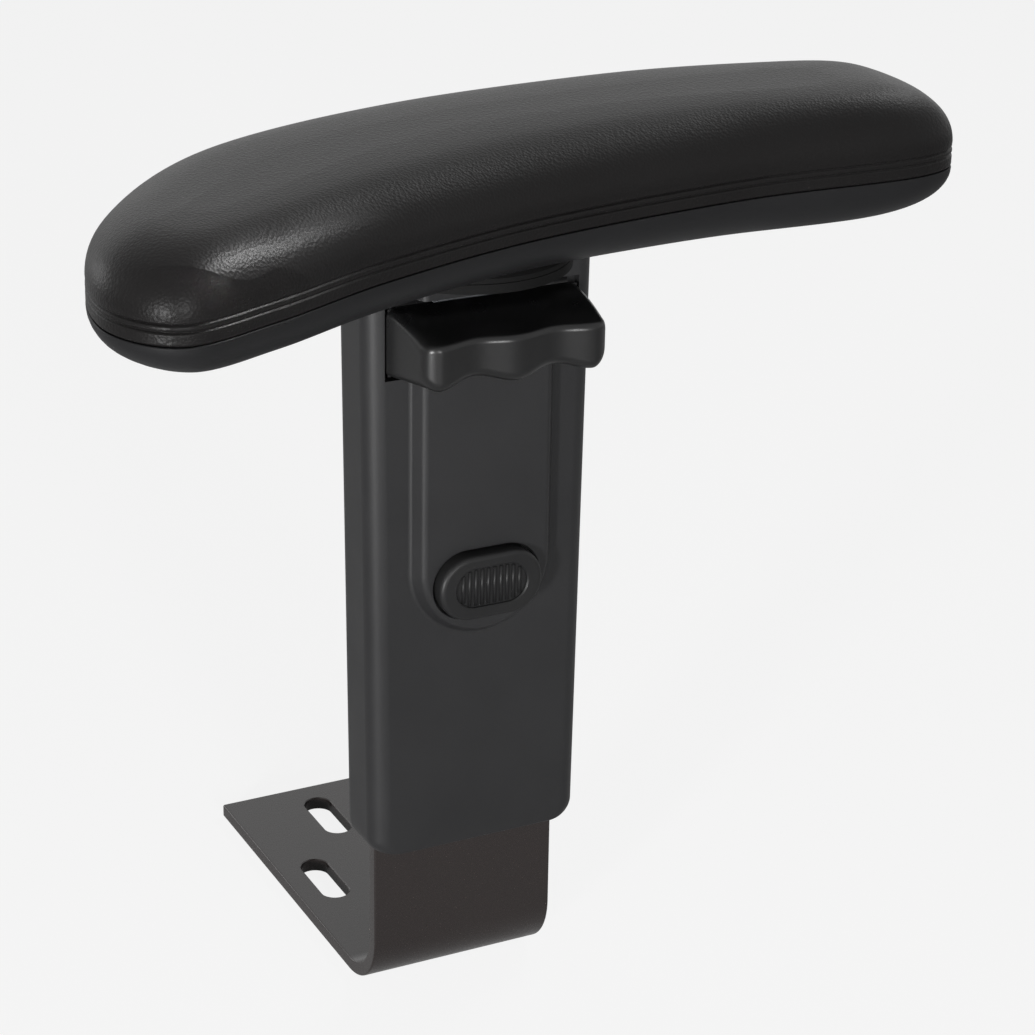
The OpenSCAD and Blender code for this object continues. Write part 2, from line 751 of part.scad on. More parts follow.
// Foam with a moulded skin: upright side, rounded shoulder and a low crown
function crown_z(d) = crown_h * (1 - pow(1 - min(d / crown_w, 1), 2));
module pad_cushion() {
    rim = pad_bottom + shell_h;
    side_top = rim + cushion_side_h;
    shoulder = [for (a = [0:9:90]) let (d = shoulder_w * (1 - pow(cos(a), shoulder_exp)))
        [d, 0, side_top + shoulder_h * pow(sin(a), shoulder_exp) + crown_z(d)]];
    crown = [for (t = [0.35, 0.7, 1]) let (d = shoulder_w + (crown_w - 4 - shoulder_w) * t)
        [d, 0, side_top + shoulder_h + crown_z(d)]];
    color("#2a2a2a") at_pad()
        pad_loft(concat([[5, 0, rim - 0.9], [3.1, 0, rim - 0.9], [3.1, 0, rim + 0.1],
            [0.5, 0, rim + 0.1], [0, 0, rim + 1.4]], shoulder, crown));
}

bracket();
bar_glides();
glide_rivets();
sleeve_front();
sleeve_back();
mouth_liner();
cover_screws();
button_guide();
guide_screws();
head_plate();
head_screws();
paddle_pin();
paddle_spring();
pivot_stud();
pivot_nut();
thrust_washer();
button();
latch_pin();
button_spring();
paddle();
index_teeth();
index_plate();
index_screws();
pad_shell();
pad_core();
pad_screws();
pad_cushion();
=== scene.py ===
import json
import math
from functools import partial
import bpy
import bmesh
from mathutils import Matrix, Vector

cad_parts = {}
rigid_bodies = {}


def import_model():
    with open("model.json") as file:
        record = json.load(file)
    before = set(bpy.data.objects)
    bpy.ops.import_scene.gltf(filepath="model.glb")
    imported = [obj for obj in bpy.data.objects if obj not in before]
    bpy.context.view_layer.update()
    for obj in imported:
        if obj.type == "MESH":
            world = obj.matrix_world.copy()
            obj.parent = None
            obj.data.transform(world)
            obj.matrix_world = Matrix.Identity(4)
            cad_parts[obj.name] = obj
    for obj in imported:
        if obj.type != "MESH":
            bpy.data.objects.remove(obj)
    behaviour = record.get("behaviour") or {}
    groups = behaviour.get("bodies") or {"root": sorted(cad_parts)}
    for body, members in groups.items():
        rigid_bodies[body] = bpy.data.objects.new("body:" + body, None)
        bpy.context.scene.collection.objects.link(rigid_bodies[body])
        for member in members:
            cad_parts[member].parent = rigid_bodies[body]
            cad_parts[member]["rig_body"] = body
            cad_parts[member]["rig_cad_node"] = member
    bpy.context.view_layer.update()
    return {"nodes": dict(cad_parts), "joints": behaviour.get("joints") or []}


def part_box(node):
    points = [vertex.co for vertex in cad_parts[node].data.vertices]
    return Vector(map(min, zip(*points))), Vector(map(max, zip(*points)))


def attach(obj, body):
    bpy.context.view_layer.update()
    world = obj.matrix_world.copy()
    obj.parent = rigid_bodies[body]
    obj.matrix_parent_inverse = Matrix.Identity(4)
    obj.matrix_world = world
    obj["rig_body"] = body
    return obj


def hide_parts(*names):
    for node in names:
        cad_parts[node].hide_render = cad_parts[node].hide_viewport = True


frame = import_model()
nodes = frame["nodes"]
jointAt = {j["name"]: j for j in frame["joints"]}
mm = 0.001
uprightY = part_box("bracket")[0].y  # outer face of the upright, where Y is 0 in the notes below
print("frame loaded")

# camera

cameraView = {
    "azimuth": -26.73, "elevation": 23.08, "roll": 0.99,  # degrees
    "target": (38.9, -46.5, 132.3), "distance": 960, "lens": 104.35,  # mm
}


def placeCamera(view):
    a, e, r = (math.radians(view[k]) for k in ("azimuth", "elevation", "roll"))
    back = Vector((math.sin(a) * math.cos(e), -math.cos(a) * math.cos(e), math.sin(e)))
    right = Vector((math.cos(a), math.sin(a), 0))
    up = back.cross(right)
    rolledRight = right * math.cos(r) + up * math.sin(r)
    rolledUp = up * math.cos(r) - right * math.sin(r)
    spot = (Vector(view["target"]) + back * view["distance"]) * mm
    data = bpy.data.cameras.new("camera")
    data.lens = view["lens"]
    data.sensor_width = 36
    data.clip_start, data.clip_end = 0.05, 20
    camera = bpy.data.objects.new("camera", data)
    camera.matrix_world = Matrix.Translation(spot) @ Matrix(
        (rolledRight, rolledUp, back)).transposed().to_4x4()
    bpy.context.scene.collection.objects.link(camera)
    bpy.context.scene.camera = camera


placeCamera(cameraView)

# small tools


def linear(hexColour):
    channels = (int(hexColour[i:i + 2], 16) / 255 for i in (1, 3, 5))
    return tuple(c / 12.92 if c <= 0.04045 else ((c + 0.055) / 1.055) ** 2.4 for c in channels) + (1,)


def addNode(tree, kind, settings=None, inputs=None):
    # settings are node properties, inputs are values or sockets by name or index
    n = tree.nodes.new(kind)
    for key, value in (settings or {}).items():
        setattr(n, key, value)
    for key, value in (inputs or {}).items():
        if isinstance(value, bpy.types.NodeSocket):
            tree.links.new(value, n.inputs[key])
        else:
            n.inputs[key].default_value = value
    return n


def newMesh(name, verts, faces, smooth=True):
    mesh = bpy.data.meshes.new(name)
    mesh.from_pydata(verts, [], faces)
    mesh.validate()
    bm = bmesh.new()
    bm.from_mesh(mesh)
    bmesh.ops.recalc_face_normals(bm, faces=bm.faces)
    bm.to_mesh(mesh)
    bm.free()
    for p in mesh.polygons:
        p.use_smooth = smooth
    piece = bpy.data.objects.new(name, mesh)
    bpy.context.scene.collection.objects.link(piece)
    return piece


def loft(name, rings, capped=True, smooth=True):
    # quads between rings of equally many points, and one flat cap at each end
    n = len(rings[0])
    verts = [p for ring in rings for p in ring]
    faces = [(k * n + i, k * n + (i + 1) % n, (k + 1) * n + (i + 1) % n, (k + 1) * n + i)
             for k in range(len(rings) - 1) for i in range(n)]
    if capped:
        faces += [tuple(range(n - 1, -1, -1)), tuple((len(rings) - 1) * n + i for i in range(n))]
    return newMesh(name, verts, faces, smooth)


def box(name, low, high):
    (x0, y0, z0), (x1, y1, z1) = low, high
    lower = [(x0, y0, z0), (x1, y0, z0), (x1, y1, z0), (x0, y1, z0)]
    return loft(name, [lower, [(x, y, z1) for x, y, _ in lower]], smooth=False)


def rod(name, radius, start, end, sides=48):
    # cylinder between two points
    a, b = Vector(start), Vector(end)
    axis = (b - a).normalized()
    u = axis.orthogonal().normalized()
    v = axis.cross(u)
    turns = [2 * math.pi * i / sides for i in range(sides)]
    ring = [radius * (math.cos(t) * u + math.sin(t) * v) for t in turns]
    return loft(name, [[a + p for p in ring], [b + p for p in ring]])


def applied(piece):
    # bakes the modifiers into the mesh and clears them
    bpy.context.view_layer.update()
    evaluated = piece.evaluated_get(bpy.context.evaluated_depsgraph_get())
    mesh = bpy.data.meshes.new_from_object(evaluated)
    old = piece.data
    piece.modifiers.clear()
    piece.data = mesh
    mesh.name = piece.name
    bpy.data.meshes.remove(old)
    return piece


def boolean(piece, tools, operation="DIFFERENCE"):
    for tool in tools:
        m = piece.modifiers.new("boolean", "BOOLEAN")
        m.object = tool
        m.operation = operation
        m.solver = "EXACT"
        applied(piece)
        bpy.data.objects.remove(tool)
    return piece


def shaded(piece, angle=35):
    # smooth shading that stops at edges sharper than the angle
    mesh = piece.data
    for p in mesh.polygons:
        p.use_smooth = True
    bm = bmesh.new()
    bm.from_mesh(mesh)
    limit = math.radians(angle)
    for e in bm.edges:
        e.smooth = len(e.link_faces) == 2 and e.calc_face_angle(0) < limit
    bm.to_mesh(mesh)
    bm.free()
    m = piece.modifiers.new("weighted", "WEIGHTED_NORMAL")
    m.keep_sharp = True
    m.weight = 80
    return applied(piece)


def finishPiece(piece, material, body, replaced=()):
    piece.data.materials.clear()
    piece.data.materials.append(material)
    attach(piece, body)
    if replaced:
        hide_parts(*replaced)
    return piece


def arc(cx, cy, r, start, end, count):
    # points of an arc in a plane, angles in degrees
    angles = [math.radians(start + (end - start) * i / (count - 1)) for i in range(count)]
    return [(cx + r * math.cos(t), cy + r * math.sin(t)) for t in angles]


def roundIn(past, radius):
    # how far a round edge has drawn in, at a point past its start
    t = min(max(0.0, past) / radius, 1)
    return radius * (1 - math.sqrt(1 - t * t))


def mathNode(tree, operation, first, second=0.0):
    return addNode(tree, "ShaderNodeMath", {"operation": operation}, {0: first, 1: second}).outputs[0]


def vectorNode(tree, x=0.0, y=0.0, z=0.0):
    return addNode(tree, "ShaderNodeCombineXYZ", {}, {"X": x, "Y": y, "Z": z}).outputs[0]


# materials


def startMaterial(name, colour, roughness, metallic=0.0, ior=None, gloss=0.5):
    material = bpy.data.materials.new(name)
    material.use_nodes = True
    tree = material.node_tree
    shader = tree.nodes["Principled BSDF"]
    shader.inputs["Base Color"].default_value = linear(colour)
    shader.inputs["Roughness"].default_value = roughness
    shader.inputs["Metallic"].default_value = metallic
    shader.inputs["Specular IOR Level"].default_value = gloss
    if ior:
        shader.inputs["IOR"].default_value = ior
    return material, tree, shader


def objectNoise(tree, size, detail=3.0, roughness=0.5, kind="ShaderNodeTexNoise"):
    # size is the width of one lump in mm
    place = addNode(tree, "ShaderNodeTexCoord")
    settings = {"noise_dimensions": "3D"} if kind == "ShaderNodeTexNoise" else {}
    inputs = {"Vector": place.outputs["Object"], "Scale": 1000 / size}
    if kind == "ShaderNodeTexNoise":
        inputs.update({"Detail": detail, "Roughness": roughness})
    return addNode(tree, kind, settings, inputs)


def ranged(tree, socket, low, high, fromLow=0.3, fromHigh=0.7):
    return addNode(tree, "ShaderNodeMapRange", {}, {
        "Value": socket, "From Min": fromLow, "From Max": fromHigh,
        "To Min": low, "To Max": high}).outputs["Result"]


def twoColours(tree, socket, first, second):
    mix = addNode(tree, "ShaderNodeMix", {"data_type": "RGBA"})
    tree.links.new(socket, mix.inputs["Factor"])
    for name, colour in (("A", first), ("B", second)):
        for s in mix.inputs:
            if s.name == name and s.type == "RGBA":
                s.default_value = linear(colour)
    return next(s for s in mix.outputs if s.type == "RGBA")


def addBump(tree, shader, layers):
    # layers are (height socket, depth in mm), stacked
    last = None
    for height, depth in layers:
        bump = addNode(tree, "ShaderNodeBump", {}, {
            "Height": height, "Distance": depth * mm, "Strength": 1.0})
        if last:
            tree.links.new(last, bump.inputs["Normal"])
        last = bump.outputs["Normal"]
    tree.links.new(last, shader.inputs["Normal"])


def mouldedPlastic(name, colour, dark, roughness, grain, depth, gloss=0.5):
    # glass-filled nylon from a spark-eroded tool: a fine even sparkle, dull on flats
    material, tree, shader = startMaterial(name, colour, roughness, ior=1.53, gloss=gloss)
    fine = objectNoise(tree, grain, 4, 0.6)
    broad = objectNoise(tree, 22, 2)
    tree.links.new(twoColours(tree, broad.outputs["Fac"], dark, colour), shader.inputs["Base Color"])
    rough = ranged(tree, broad.outputs["Fac"], roughness - 0.04, roughness + 0.05)
    tree.links.new(rough, shader.inputs["Roughness"])
    addBump(tree, shader, [(fine.outputs["Fac"], depth)])
    return material


def mouldedSkin(name, colour, dark, roughness, grain, depth, gloss=0.5):
    # integral-skin polyurethane: a soft pebble grain that breaks the highlight into specks
    material, tree, shader = startMaterial(name, colour, roughness, ior=1.5, gloss=gloss)
    cells = objectNoise(tree, grain, kind="ShaderNodeTexVoronoi")
    fine = objectNoise(tree, grain * 0.5, 4, 0.6)
    broad = objectNoise(tree, 30, 2)
    tree.links.new(twoColours(tree, broad.outputs["Fac"], dark, colour), shader.inputs["Base Color"])
    rough = ranged(tree, fine.outputs["Fac"], roughness - 0.05, roughness + 0.06)
    tree.links.new(rough, shader.inputs["Roughness"])
    addBump(tree, shader, [(cells.outputs["Distance"], depth), (fine.outputs["Fac"], depth * 0.6)])
    return material


def powderCoat(name, colour, dark, roughness, grain, depth):
    # thin polyester powder over steel: faint orange peel with a satin sheen
    material, tree, shader = startMaterial(name, colour, roughness, ior=1.5)
    peel = objectNoise(tree, grain, 2, 0.4)
    speck = objectNoise(tree, 0.5, 3, 0.6)
    broad = objectNoise(tree, 40, 2)
    tree.links.new(twoColours(tree, broad.outputs["Fac"], dark, colour), shader.inputs["Base Color"])
    rough = ranged(tree, speck.outputs["Fac"], roughness - 0.05, roughness + 0.05)
    tree.links.new(rough, shader.inputs["Roughness"])
    addBump(tree, shader, [(peel.outputs["Fac"], depth), (speck.outputs["Fac"], depth * 0.3)])
    return material


def zincSteel(name, colour, dark, roughness):
    # bright zinc plate: pale blue-grey metal with cloudy patches
    material, tree, shader = startMaterial(name, colour, roughness, metallic=1.0)
    cloud = objectNoise(tree, 4, 3)
    tree.links.new(twoColours(tree, cloud.outputs["Fac"], dark, colour), shader.inputs["Base Color"])
    rough = ranged(tree, cloud.outputs["Fac"], roughness - 0.06, roughness + 0.1)
    tree.links.new(rough, shader.inputs["Roughness"])
    fine = objectNoise(tree, 0.3, 2)
    addBump(tree, shader, [(fine.outputs["Fac"], 0.01)])
    return material


def plywood(name, colour, dark, roughness):
    # rotary-cut birch: long faint grain with sawn edges
    material, tree, shader = startMaterial(name, colour, roughness, ior=1.5)
    place = addNode(tree, "ShaderNodeTexCoord")
    stretched = addNode(tree, "ShaderNodeMapping", {}, {
        "Vector": place.outputs["Object"], "Scale": (40, 600, 900)})
    grain = addNode(tree, "ShaderNodeTexNoise", {}, {
        "Vector": stretched.outputs["Vector"], "Scale": 1.0, "Detail": 4.0})
    tree.links.new(twoColours(tree, grain.outputs["Fac"], dark, colour), shader.inputs["Base Color"])
    addBump(tree, shader, [(grain.outputs["Fac"], 0.05)])
    return material


sleeveNylon = mouldedPlastic("glass filled nylon", "#202021", "#1d1d1e", 0.45, 0.55, 0.035, 0.27)
buttonNylon = mouldedPlastic("satin nylon button", "#1c1c1c", "#181819", 0.42, 0.5, 0.02, 0.2)
paddleNylon = mouldedPlastic("satin nylon paddle", "#161616", "#131314", 0.3, 0.5, 0.015, 0.29)
shellPlastic = mouldedPlastic("textured polypropylene", "#1b1b1c", "#171718", 0.5, 0.6, 0.03, 0.12)
# black acetal darker than the other plastics, for the swivel boss and index plate: painted shade for the dim
# gap under the pad
paintedShadeAcetal = mouldedPlastic("black acetal darkened as painted shade", "#0c0c0c", "#0a0a0a", 0.7, 0.8, 0.03, 0.1)
naturalNylon = mouldedPlastic("natural nylon", "#dcd8cc", "#d3cec0", 0.4, 0.8, 0.01)
padSkin = mouldedSkin("moulded polyurethane skin", "#171616", "#131212", 0.37, 0.9, 0.08, 0.11)
coatedSteel = powderCoat("satin powder coat", "#211b1a", "#1c1716", 0.27, 1.6, 0.02)
zinc = zincSteel("bright zinc plate", "#b9bcc0", "#9fa3a8", 0.32)
springWire = zincSteel("drawn spring wire", "#8d9095", "#7b7e83", 0.28)
birch = plywood("birch plywood", "#c8a878", "#a98657", 0.6)

carried = {
    "bar_glides": naturalNylon, "glide_rivets": zinc, "mouth_liner": naturalNylon,
    "button_guide": naturalNylon, "guide_screws": zinc, "head_plate": coatedSteel, "head_screws": zinc,
    "paddle_pin": zinc, "paddle_spring": springWire, "pivot_stud": zinc, "pivot_nut": zinc,
    "thrust_washer": zinc, "latch_pin": zinc, "button_spring": springWire, "index_teeth": zinc,
    # the index plate takes the extra dark acetal: painted shade under the pad
    "index_plate": paintedShadeAcetal, "index_screws": zinc, "pad_core": birch,
}
for nodeName, material in carried.items():
    mesh = nodes[nodeName].data
    mesh.materials.clear()
    mesh.materials.append(material)
print("materials made")

# bracket

bracketShape = {
    "edge": 0.6, "bend": 21.0, "bendSteps": 28, "cornerSteps": 5,
    "slotWidth": 9.5, "slotLength": 27, "slots": [(0, 20), (-18, -20), (18, -20)],
    "slotChamfer": 0.3, "slotFlare": 1.2, "past": 1, "cutDepth": 6,  # tools reach past the faces
    "stationSize": 10, "neck": 6.6, "firstStation": 121, "stationPitch": 10, "stations": 7,
    "stationSteps": 12, "rivets": [(-18.25, 180.5), (18.25, 180.5)], "rivetRadius": 2,
    "uprightBreaks": (120, 60),
}


def stadiumRing(radius, straight, alongX=True, steps=16):
    # closed outline of a stadium round the origin, in mm
    half = straight / 2
    points = arc(half, 0, radius, -90, 90, steps) + arc(-half, 0, radius, 90, 270, steps)
    return points if alongX else [(y, x) for x, y in reversed(points)]


def makeBracket(s):
    low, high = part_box("bracket")
    width, top = (high.x - low.x) / mm, high.z / mm
    thick = -low.z / mm
    innerBend = s["bend"] - thick
    halfW, halfT = width / 2, thick / 2
    corners = ((halfW, halfT, 0), (-halfW, halfT, 90), (-halfW, -halfT, 180), (halfW, -halfT, 270))
    section = []  # rounded bar section: across the width and through the thickness
    for cx, cy, start in corners:
        sx, sy = math.copysign(s["edge"], cx), math.copysign(s["edge"], cy)
        section += arc(cx - sx, cy - sy, s["edge"], start, start + 90, s["cornerSteps"])
    footEnd = high.y / mm
    upright = uprightY / mm
    mid = s["bend"] - halfT  # the bar's centre line turns at this radius
    cy, cz = upright + s["bend"], innerBend
    path = [((upright + halfT, z), (1, 0)) for z in (top, *s["uprightBreaks"], cz)]
    for i in range(1, s["bendSteps"]):
        t = math.pi / 2 * i / s["bendSteps"]
        path.append(((cy - mid * math.cos(t), cz - mid * math.sin(t)), (math.cos(t), math.sin(t))))
    path += [((y, -halfT), (0, 1)) for y in (cy, (cy + footEnd) / 2, footEnd)]
    rings = [[(x * mm, (py + ny * t) * mm, (pz + nz * t) * mm) for x, t in section]
             for (py, pz), (ny, nz) in path]
    bar = loft("bracketBar", rings)
    tools = []
    straight = s["slotLength"] - s["slotWidth"]
    chamfer, flare, past = s["slotChamfer"], s["slotFlare"], s["past"]
    levels = [(-thick - past, flare), (-thick, chamfer), (-thick + chamfer, 0),
              (-chamfer, 0), (0, chamfer), (past, flare)]
    for x, y in s["slots"]:
        tools.append(loft("slotTool", [
            [((x + px) * mm, (y + py) * mm, z * mm)
             for px, py in stadiumRing(s["slotWidth"] / 2 + grow, straight, alongX=False)]
            for z, grow in levels]))
    y0, y1 = uprightY - past * mm, uprightY + s["cutDepth"] * mm
    for x, z in s["rivets"]:
        tools.append(rod("rivetTool", s["rivetRadius"] * mm, (x * mm, y0, z * mm), (x * mm, y1, z * mm)))
    outline = []  # keyhole ladder: round stations joined by a narrower neck
    stations = [s["firstStation"] + i * s["stationPitch"] for i in range(s["stations"])]
    r, neck = s["stationSize"] / 2, s["neck"] / 2
    opening = math.degrees(math.asin(neck / r))
    for i, z in enumerate(stations):
        start = -90 if i == 0 else -90 + opening
        end = 90 if i == len(stations) - 1 else 90 - opening
        outline += arc(0, z, r, start, end, s["stationSteps"])
    outline += [(-x, z) for x, z in reversed(outline[1:-1])]
    tools.append(loft("ladderTool", [[(x * mm, y, z * mm) for x, z in outline] for y in (y0, y1)]))
    boolean(bar, tools)
    return shaded(bar, 30)


finishPiece(makeBracket(bracketShape), coatedSteel, "bracket", ["bracket"])
print("bracket made")

# sleeve

sleeveShape = {
    "bottom": 51.5, "top": 236, "widthLow": 69.5, "widthHigh": 73.5, "front": -9.5, "rear": 14,
    "parting": 8, "corner": 6, "sideCorner": 5.5, "edge": 0.9, "levels": 40, "cornerSteps": 12,
    "cavityHalf": 31.7, "neckHalf": 28.3, "neckFrom": 213, "frontWall": -6.7, "rearWall": 11.5,
    "bossCentre": 146, "bossRadius": 23.8, "bossFace": -14, "footFillet": 1.5, "edgeFillet": 2.3,
    "wallLean": 60, "bossBuried": 1.5, "bossSteps": 64, "rimSteps": 14, "cornerGap": 0.05,
    "window": (31, 207.2, 231.3),  # half width, lower and upper edge
    "plate": (35.05, 4.45, 233),  # half width, corner, floor
    "pocket": (10.8, 13, 141), "pocketFillet": 0.4, "recess": (12.3, -11.2),
    "ribs": (24, 28, 68, 204), "ribTop": -0.1,  # from X to X on each side, from Z to Z
    "hinge": (-4.5, 227.5, 2.02, 34),  # Y, Z, radius, half length
    "coverScrew": (20, 60, 1.6, 3.2, 1.6),  # X on each side, Z, hole, seat, depth of the seat
    "ahead": -30, "behind": 20, "below": 40, "above": 240, "overlap": 0.1, "sunk": 0.5,
}


def atUpright(points):
    # millimetres in the upright's frame to metres in the part's frame
    return [(x * mm, y * mm + uprightY, z * mm) for x, y, z in points]


def sleeveRing(s, z, sideIn, edgeIn, front):
    # one level of the sleeve's outer form, cut at the parting plane
    t = (z - s["bottom"]) / (s["top"] - s["bottom"])
    half = (s["widthLow"] + (s["widthHigh"] - s["widthLow"]) * t) / 2 - sideIn
    y0, y1 = s["front"] + edgeIn, s["rear"] - edgeIn
    r, steps, parting = s["corner"] - edgeIn * 0.5, s["cornerSteps"], s["parting"]
    if front:
        side = arc(-half + r, y0 + r, r, 180, 270, steps) + arc(half - r, y0 + r, r, 270, 360, steps)
        ring = [(-half, parting)] + side + [(half, parting)]
    else:
        r = min(r, y1 - parting - s["cornerGap"])
        side = arc(half - r, y1 - r, r, 0, 90, steps) + arc(-half + r, y1 - r, r, 90, 180, steps)
        ring = [(half, parting)] + side + [(-half, parting)]
    return atUpright([(x, y, z) for x, y in ring])


def sleeveOuter(s, name, front):
    # round lower corners seen from the front, and a small round to the front and back
    rings = []
    rim, steps = s["sideCorner"], s["rimSteps"]
    for i in range(steps):
        t = math.pi / 2 * i / steps
        up = rim * (1 - math.cos(t))
        edgeIn = roundIn(s["edge"] - up, s["edge"])
        rings.append(sleeveRing(s, s["bottom"] + up, rim * (1 - math.sin(t)), edgeIn, front))
    straight = s["top"] - s["bottom"] - rim
    for i in range(s["levels"] + 1):
        rings.append(sleeveRing(s, s["bottom"] + rim + straight * i / s["levels"], 0, 0, front))
    return loft(name, rings)


def bossProfile(s):
    # (X, Y) across one side of the raised panel, from its buried foot to its face
    r, foot, edge = s["bossRadius"], s["footFillet"], s["edgeFillet"]
    base, face = s["front"], s["bossFace"]
    lean = math.radians(s["wallLean"])
    wallX, wallY = r - foot * math.sin(lean), base - foot * (1 - math.cos(lean))
    edgeY = face + edge * (1 - math.cos(lean))
    faceX = wallX - (wallY - edgeY) / math.tan(lean) - edge * math.sin(lean)
    footTurns = [lean * i / 6 for i in range(7)]
    edgeTurns = [lean * (1 - i / 8) for i in range(9)]
    profile = [(r, base + s["bossBuried"])]
    profile += [(r - foot * math.sin(t), base - foot * (1 - math.cos(t))) for t in footTurns]
    profile += [(faceX + edge * math.sin(t), face + edge * (1 - math.cos(t))) for t in edgeTurns]
    return profile


def bossSolid(s):
    # the profile swept down one side, round the lower end and up the other side
    profile = bossProfile(s)
    heights = (s["top"], (s["top"] + s["bossCentre"]) / 2)
    rings = [[(x, y, z) for x, y in profile] for z in heights]
    for i in range(s["bossSteps"] + 1):
        a = math.pi * i / s["bossSteps"]
        rings.append([(x * math.cos(a), y, s["bossCentre"] - x * math.sin(a)) for x, y in profile])
    rings += [[(-x, y, z) for x, y in profile] for z in reversed(heights)]
    n = len(profile)
    verts = [p for ring in rings for p in atUpright(ring)]
    faces = [(k * n + i, k * n + i + 1, (k + 1) * n + i + 1, (k + 1) * n + i)
             for k in range(len(rings) - 1) for i in range(n - 1)]
    last = (len(rings) - 1) * n
    faces.append(tuple(k * n + n - 1 for k in range(len(rings))))  # face
    faces.append(tuple(k * n for k in range(len(rings) - 1, -1, -1)))  # buried back
    faces.append(tuple(range(n)) + tuple(last + i for i in range(n - 1, -1, -1)))  # top
    return newMesh("boss", verts, faces)


def slabAt(name, x0, x1, y0, y1, z0, z1):
    low, high = atUpright([(x0, y0, z0), (x1, y1, z1)])
    return box(name, low, high)


def stadiumTool(name, radius, straight, z, levels, steps=24):
    # levels are (y, growth of the radius)
    rings = []
    for y, grow in levels:
        ring = stadiumRing(radius + grow, straight, steps=steps)
        rings.append(atUpright([(px, y, z + pz) for px, pz in ring]))
    return loft(name, rings)


def plateRecess(s, reach=2, steps=10):
    # pocket in the rim for the head plate
    half, r, floor = s["plate"]
    y0, y1 = s["front"] + s["corner"] - r, s["rear"] - s["corner"] + r
    outline = arc(half - r, y1 - r, r, 0, 90, steps) + arc(r - half, y1 - r, r, 90, 180, steps)
    outline += arc(r - half, y0 + r, r, 180, 270, steps) + arc(half - r, y0 + r, r, 270, 360, steps)
    return loft("plateRecess", [atUpright([(x, y, z) for x, y in outline]) for z in (floor, s["top"] + reach)])


def flared(mouth, depth, fillet, reach=2, count=5):
    # (y, growth) levels of a hole whose mouth at y = mouth has a rounded lip
    lip = [(mouth + fillet * math.sin(t), fillet * (1 - math.cos(math.pi / 2 - t)))
           for t in (math.pi / 2 * i / count for i in range(count + 1))]
    return [(mouth - reach, fillet)] + lip + [(depth, 0)]


def roomTools(s, y0, y1):
    # the room for the bar, and the narrower one between the paddle's arms
    return [slabAt("cavity", -s["cavityHalf"], s["cavityHalf"], y0, y1, s["below"], s["neckFrom"]),
            slabAt("neck", -s["neckHalf"], s["neckHalf"], y0, y1, s["neckFrom"] - 1, s["above"])]


def makeSleeveFront(s):
    shell = sleeveOuter(s, "sleeveFront", True)
    boolean(shell, [bossSolid(s)], "UNION")
    half, z0, z1 = s["window"]
    radius, straight, z = s["pocket"]
    recessRadius, recessY = s["recess"]
    inner = s["frontWall"]
    through = inner + s["overlap"]
    y, hingeZ, hingeRadius, hingeHalf = s["hinge"]
    boolean(shell, roomTools(s, inner, s["behind"]) + [
        slabAt("window", -half, half, s["ahead"], through, z0, z1),
        stadiumTool("pocket", radius, straight, z, flared(s["bossFace"], through, s["pocketFillet"])),
        stadiumTool("recess", recessRadius, straight, z, [(recessY, 0), (through, 0)]),
        rod("hingeBore", hingeRadius * mm, *atUpright([(-hingeHalf, y, hingeZ), (hingeHalf, y, hingeZ)])),
        plateRecess(s),
    ])
    x0, x1, r0, r1 = s["ribs"]
    ribs = [slabAt("rib", a, b, inner - s["sunk"], s["ribTop"], r0, r1) for a, b in ((x0, x1), (-x1, -x0))]
    boolean(shell, ribs, "UNION")
    return shaded(shell, 32)


def makeSleeveBack(s):
    shell = sleeveOuter(s, "sleeveBack", False)
    boolean(shell, roomTools(s, 0, s["rearWall"]) + [plateRecess(s)])
    screwX, z, hole, seat, seatDepth = s["coverScrew"]
    for x in (-screwX, screwX):
        for name, radius, y in (("hole", hole, 5), ("seat", seat, s["rear"] - seatDepth)):
            boolean(shell, [rod(name, radius * mm, *atUpright([(x, y, z), (x, s["behind"], z)]))])
    return shaded(shell, 32)


finishPiece(makeSleeveFront(sleeveShape), sleeveNylon, "sleeve", ["sleeve_front"])
finishPiece(makeSleeveBack(sleeveShape), sleeveNylon, "sleeve", ["sleeve_back"])
print("sleeve made")

# push button

buttonShape = {
    "z": 141, "radius": 10.3, "straight": 13, "face": -18.2, "rim": 1.7, "back": -9.6,
    "flange": (11.7, -11.1), "fieldRadius": 6.3, "fieldStraight": 10.6, "fieldFloor": -17.2,
    "fieldLip": 0.4, "ribCount": 10, "ribPitch": 2.05, "ribWidth": 1.1, "ribTop": -17.9, "ribSunk": 0.05,
    "bore": (3.2, -13, -5), "rimSteps": 8,
}


def makeInputs(tree, inputs):
    # inputs are (name, kind of socket); every tree gives one geometry
    for name, kind in inputs:
        tree.interface.new_socket(name, in_out="INPUT", socket_type="NodeSocket" + kind)
    tree.interface.new_socket("Geometry", in_out="OUTPUT", socket_type="NodeSocketGeometry")
    return addNode(tree, "NodeGroupInput").outputs


